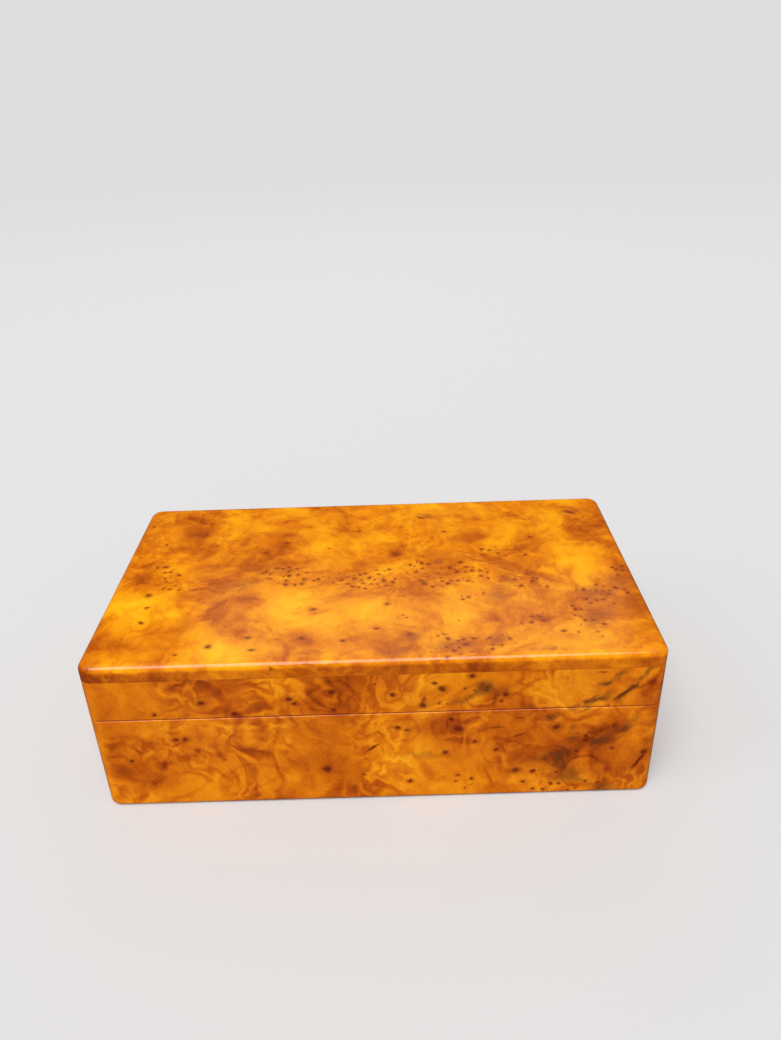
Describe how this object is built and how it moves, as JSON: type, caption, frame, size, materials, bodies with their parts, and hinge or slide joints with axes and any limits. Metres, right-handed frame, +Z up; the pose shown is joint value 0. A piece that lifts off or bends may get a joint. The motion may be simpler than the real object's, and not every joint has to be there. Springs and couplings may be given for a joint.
{
  "type": "puzzle box",
  "caption": "Low rectangular burl-wood box with rounded edges, hinged lid, sliding front panel over a hidden lock, and a hidden key runner in its back foot.",
  "frame": {"origin": "middle of the footprint, on the surface the box stands on", "axes": "+X along the box's length to the right as seen from the front, +Y from the sliding front panel to the hinged back, +Z up"},
  "size_m": [0.155, 0.088, 0.0495],
  "materials": {
    "burl_base": "glossy lacquer over amber burl",
    "burl_top": "glossy lacquer over yellow-amber burl",
    "plain_wood": "fine-sanded, waxed",
    "brass": "satin, slightly aged",
    "key_brass": "polished by handling",
    "steel": "satin"
  },
  "bodies": {
    "base": {"front_wall": "burl_base", "back_wall": "burl_base", "left_end_wall": "burl_base", "right_end_wall": "burl_base", "bottom_board": "plain_wood", "floor_board": "plain_wood", "panel_stop_pin": "brass", "runner_stop_pin": "brass", "lock_plate": "brass", "lock_case": "brass", "lock_drill_pin": "steel", "lock_leaf_spring": "steel", "lock_pins": "brass", "left_hinge_base_leaf": "brass", "right_hinge_base_leaf": "brass", "left_hinge_pin": "steel", "right_hinge_pin": "steel", "hinge_base_screws": "brass"},
    "lid": {"lid_top": "burl_top", "lid_front_rail": "burl_base", "lid_back_rail": "burl_base", "lid_left_rail": "burl_base", "lid_right_rail": "burl_base", "left_hinge_lid_leaf": "brass", "right_hinge_lid_leaf": "brass", "hinge_lid_screws": "brass", "link_plate": "brass", "link_plate_screws": "brass"},
    "front_slide": {"front_panel": "burl_base", "front_panel_batten": "plain_wood"},
    "key_drawer": {"key_runner": "burl_base", "key": "key_brass"},
    "bolt": {"lock_bolt": "brass"}
  },
  "joints": [
    {"name": "lid_hinge", "type": "hinge", "parent": "base", "child": "lid", "pos_m": [0, 0.042, 0.03157], "axis": [-1, 0, 0], "range_deg": [0, 100]},
    {"name": "front_panel_slide", "type": "slide", "parent": "base", "child": "front_slide", "axis": [1, 0, 0], "range_m": [0, 0.031]},
    {"name": "key_runner_slide", "type": "slide", "parent": "base", "child": "key_drawer", "axis": [1, 0, 0], "range_m": [0, 0.0392]},
    {"name": "lock_bolt_slide", "type": "slide", "parent": "base", "child": "bolt", "axis": [1, 0, 0], "range_m": [0, 0.003]}
  ]
}
